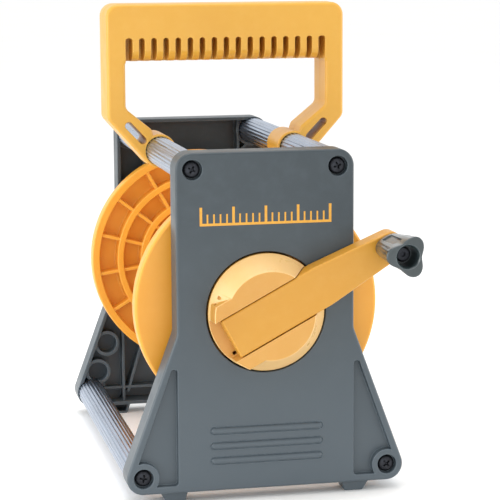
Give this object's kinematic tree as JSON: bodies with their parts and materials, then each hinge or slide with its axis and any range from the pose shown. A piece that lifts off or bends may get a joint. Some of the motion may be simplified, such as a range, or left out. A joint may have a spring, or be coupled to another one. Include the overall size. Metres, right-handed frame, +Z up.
{
  "type": "hand-cranked winder reel",
  "caption": "Free-standing winder reel: two A-shaped side frames on tie tubes carry a ribbed spool with a folding hand crank, under a slotted carrying handle.",
  "frame": {"origin": "On the floor under the middle of the overall box", "axes": "+X to the right of a user facing the crank, +Y from the crank side to the rear side along the spool's axis, +Z up"},
  "size_m": [0.172, 0.3088, 0.2972],
  "materials": {
    "frame_plastic": "fine satin moulded slate grey",
    "handle_plastic": "satin moulded golden yellow",
    "reel_plastic": "satin moulded orange yellow",
    "crank_plastic": "satin moulded golden yellow",
    "knob_plastic": "satin moulded grey",
    "bush_plastic": "low-friction black plastic",
    "tube_aluminium": "mill finish, drawn lengthwise",
    "black_screw": "black oxide",
    "bright_steel": "bright zinc plate"
  },
  "bodies": {
    "stand": {"front_side_frame": "frame_plastic", "rear_side_frame": "frame_plastic", "front_bearing_bush": "bush_plastic", "rear_bearing_bush": "bush_plastic", "carry_handle": "handle_plastic", "upper_left_tube": "tube_aluminium", "upper_right_tube": "tube_aluminium", "lower_left_tube": "tube_aluminium", "lower_right_tube": "tube_aluminium", "front_screw_upper_left": "black_screw", "front_screw_upper_right": "black_screw", "front_screw_lower_left": "black_screw", "front_screw_lower_right": "black_screw", "rear_screw_upper_left": "black_screw", "rear_screw_upper_right": "black_screw", "rear_screw_lower_left": "black_screw", "rear_screw_lower_right": "black_screw"},
    "spool": {"crank_hub": "crank_plastic", "rear_hub": "crank_plastic", "front_flange": "reel_plastic", "rear_flange": "reel_plastic", "spool_core": "reel_plastic", "crank_fold_pin": "bright_steel", "spool_bolt_1": "bright_steel", "spool_bolt_2": "bright_steel", "spool_bolt_3": "bright_steel"},
    "crank": {"crank_arm": "crank_plastic", "knob_shoulder_bolt": "black_screw", "knob_nut": "bright_steel"},
    "knob": {"crank_knob": "knob_plastic"}
  },
  "joints": [
    {"name": "reel_spin", "type": "hinge", "parent": "stand", "child": "spool", "pos_m": [0, 0, 0.11543], "axis": [0, 1, 0], "continuous": true},
    {"name": "crank_fold", "type": "hinge", "parent": "spool", "child": "crank", "pos_m": [-0.0223, -0.10965, 0.1036], "axis": [0.4687, 0, -0.8834], "range_deg": [0, 90]},
    {"name": "knob_spin", "type": "hinge", "parent": "crank", "child": "knob", "pos_m": [0.07283, -0.13566, 0.15407], "axis": [0, 1, 0], "continuous": true}
  ]
}
